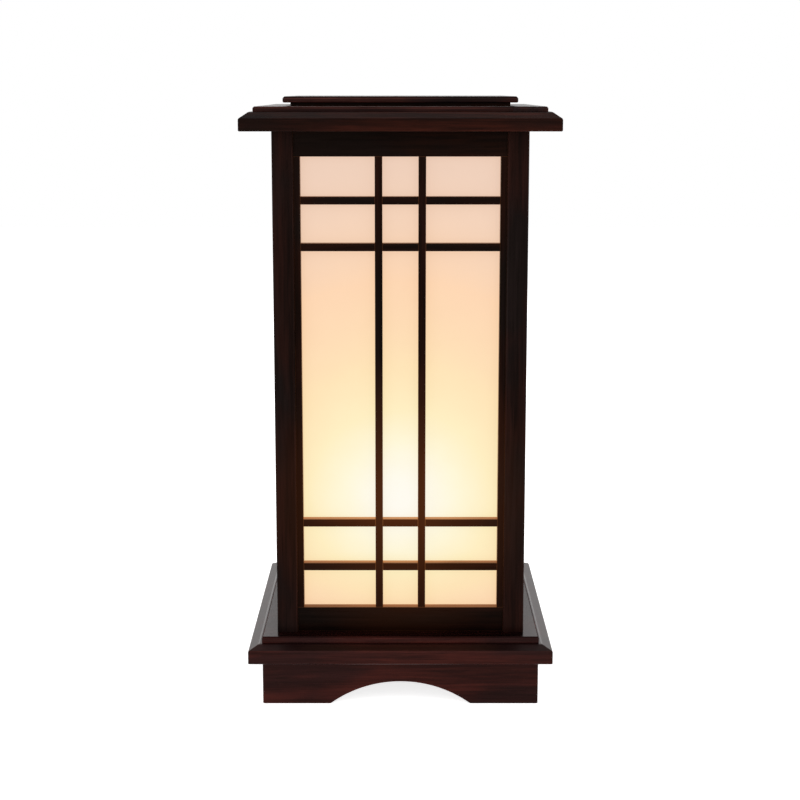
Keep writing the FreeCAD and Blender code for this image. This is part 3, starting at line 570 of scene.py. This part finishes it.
# Each fitting's material and eased arris in millimetres
FITTINGS = {
    "corner_blocks": (sawn_wood(), 0.4),
    "base_screws": (STEEL, 0.15),
    "roof_screws": (STEEL, 0.15),
    "clamp_tube": (STEEL, 0.2),
    "tube_washer": (STEEL, 0.15),
    "tube_nut": (STEEL, 0.3),
    "cord_grommet": (RUBBER, 0.4),
    "holder_cap": (BLACK_PLASTIC, 0.4),
    "holder_sleeve": (BLACK_PLASTIC, 0.4),
    "holder_insert": (CERAMIC, 0.3),
    "centre_contact": (BRASS, 0.1),
    "bulb_button": (TINNED, 0.3),
    "bulb_insulator": (INSULATOR, 0.2),
    "bulb_housing": (WHITE_PLASTIC, 0.4),
}
for node, (material, arris) in FITTINGS.items():
    dress(node, material)
    ease_edges(node, arris, FACE_SLOT)
dress("bulb_globe", frosted_globe())

# The bulb's round thread, rolled into its cap and into the shell that takes it: its depth in each, and the
# thickness of their sheet
INCH = 25.4 * MM
THREADS_PER_INCH = 7
THREAD_PITCH = INCH / THREADS_PER_INCH
THREAD_SEGMENTS = 48
THREAD_ROWS = 8
RIM_ANGLE = math.radians(50)
CAP_DEPTH = 0.7 * MM
CAP_SHEET = 0.25 * MM
SHELL_DEPTH = 0.3 * MM
SHELL_SHEET = 0.2 * MM


def add_object(name, data):
    """A new object with this data, put in the scene."""
    new = bpy.data.objects.new(name, data)
    scene.collection.objects.link(new)
    return new


def thread_points(low, high, depth, sheet):
    """Rings of points up a threaded tube's outside and down its inside. The thread runs out at both ends."""
    rows = math.ceil((high.z - low.z) / THREAD_PITCH * THREAD_ROWS)
    levels = [low.z + (high.z - low.z) * row / rows for row in range(rows + 1)]
    outside = [(level, high.x) for level in levels]
    inside = [(level, high.x - sheet) for level in reversed(levels)]
    points = []
    for level, crest in outside + inside:
        run_out = min(1, (level - low.z) / THREAD_PITCH, (high.z - level) / THREAD_PITCH)
        for segment in range(THREAD_SEGMENTS):
            turn = 2 * math.pi * segment / THREAD_SEGMENTS
            wave = math.cos(2 * math.pi * level / THREAD_PITCH - turn)
            radius = crest - depth * run_out * (1 - wave) / 2
            points.append((radius * math.cos(turn), radius * math.sin(turn), level))
    return points


def threaded_tube(node, body, material, depth, sheet):
    """Replaces a plain tube by one of thin sheet with the thread in it."""
    points = thread_points(*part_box(node), depth, sheet)
    faces = []
    for ring in range(0, len(points), THREAD_SEGMENTS):
        next_ring = (ring + THREAD_SEGMENTS) % len(points)
        for segment in range(THREAD_SEGMENTS):
            beside = (segment + 1) % THREAD_SEGMENTS
            faces.append((ring + segment, ring + beside, next_ring + beside, next_ring + segment))
    mesh = bpy.data.meshes.new(f"{node}_thread")
    mesh.from_pydata(points, [], faces)
    mesh.shade_smooth()
    mesh.set_sharp_from_angle(angle=RIM_ANGLE)
    mesh.materials.append(material)
    piece = add_object(f"{node}_thread", mesh)
    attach(piece, body)
    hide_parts(node)


threaded_tube("bulb_cap", "bulb", TINNED, CAP_DEPTH, CAP_SHEET)
threaded_tube("holder_shell", "lamp", BRASS, SHELL_DEPTH, SHELL_SHEET)

# Stage: a pale floor and a white surround, which show white to the camera and in reflections
FLOOR_HALF = 4
FLOOR_CORNERS = ((-1, -1), (1, -1), (1, 1), (-1, 1))
FLOOR_DROP = 0.1 * MM
FLOOR_COLOUR = (0.86, 0.86, 0.86)
FLOOR_ROUGHNESS = 0.9
FLOOR_GLOW = 0.78
SURROUND_LIGHT = 0.35

# Wide soft boxes, no brighter than the surround looks, so that gloss shows no glare: place and power of each
SOFT_BOX = 2.4
SOFT_BOXES = {
    "front_left_box": ((-1.1, -1.6, 1.1), 22),
    "front_right_box": ((1.1, -1.6, 1.1), 22.5),
    "back_left_box": ((-1.2, 1.4, 1.0), 19),
    "back_right_box": ((1.2, 1.4, 1.0), 19),
}


def seen_directly(tree):
    """1 for rays from the camera, and for those in reflections and through glass."""
    rays = tree.nodes.new("ShaderNodeLightPath").outputs
    seen = rays["Is Camera Ray"]
    for kind in ("Is Glossy Ray", "Is Transmission Ray"):
        either = tree.nodes.new("ShaderNodeMath")
        either.operation = "MAXIMUM"
        tree.links.new(seen, either.inputs[0])
        tree.links.new(rays[kind], either.inputs[1])
        seen = either.outputs[0]
    return seen


def make_floor():
    """A pale floor that shows white, with the object's shadow left on it."""
    shader = Shader("pale_floor")
    shader.set("Base Color", FLOOR_COLOUR)
    shader.set("Roughness", FLOOR_ROUGHNESS)
    shader.set("Specular IOR Level", 0)
    shader.set("Emission Color", WHITE)
    shader.set("Emission Strength", shader.math("MULTIPLY", seen_directly(shader.tree), FLOOR_GLOW))
    corners = [(x * FLOOR_HALF, y * FLOOR_HALF, -FLOOR_DROP) for x, y in FLOOR_CORNERS]
    mesh = bpy.data.meshes.new("floor")
    mesh.from_pydata(corners, [], [(0, 1, 2, 3)])
    mesh.materials.append(shader.material)
    add_object("floor", mesh)


def make_surround():
    """A white surround to look at, and a softer one to light with."""
    world = bpy.data.worlds.new("studio")
    scene.world = world
    world.use_nodes = True
    tree = world.node_tree
    background = tree.nodes["Background"]
    background.inputs["Color"].default_value = (*WHITE, 1)
    strength = tree.nodes.new("ShaderNodeMapRange")
    tree.links.new(seen_directly(tree), strength.inputs["Value"])
    strength.inputs["To Min"].default_value = SURROUND_LIGHT
    strength.inputs["To Max"].default_value = 1
    tree.links.new(strength.outputs["Result"], background.inputs["Strength"])


def soft_box(name, place, power):
    """A square soft box that looks at the middle of the object."""
    data = bpy.data.lights.new(name, "AREA")
    data.size = SOFT_BOX
    data.energy = power
    light = add_object(name, data)
    light.location = place
    middle = (cad_low + cad_high) / 2
    light.rotation_euler = (middle - Vector(place)).to_track_quat("-Z", "Y").to_euler()


make_floor()
make_surround()
for name, (place, power) in SOFT_BOXES.items():
    soft_box(name, place, power)

# Camera, fitted to the photograph's edges. The picture's size, the focal length and the point where the
# lens's axis meets the picture are in pixels, and the sensor is in millimetres.
PICTURE = 800
FOCAL_PIXELS = 1609.7
CENTRE_COLUMN = 400.4
CENTRE_ROW = 360
SENSOR = 36
PITCH = math.radians(9.506)
CAMERA_PLACE = (0, -1.2094, 0.4384)


def make_camera():
    """The camera, level from side to side and pitched down."""
    data = bpy.data.cameras.new("camera")
    data.sensor_width = SENSOR
    data.lens = FOCAL_PIXELS * SENSOR / PICTURE
    data.shift_x = (PICTURE / 2 - CENTRE_COLUMN) / PICTURE
    data.shift_y = (CENTRE_ROW - PICTURE / 2) / PICTURE
    camera = add_object("camera", data)
    camera.location = CAMERA_PLACE
    camera.rotation_euler = (math.pi / 2 - PITCH, 0, 0)
    scene.camera = camera


make_camera()
scene.view_settings.view_transform = "Standard"
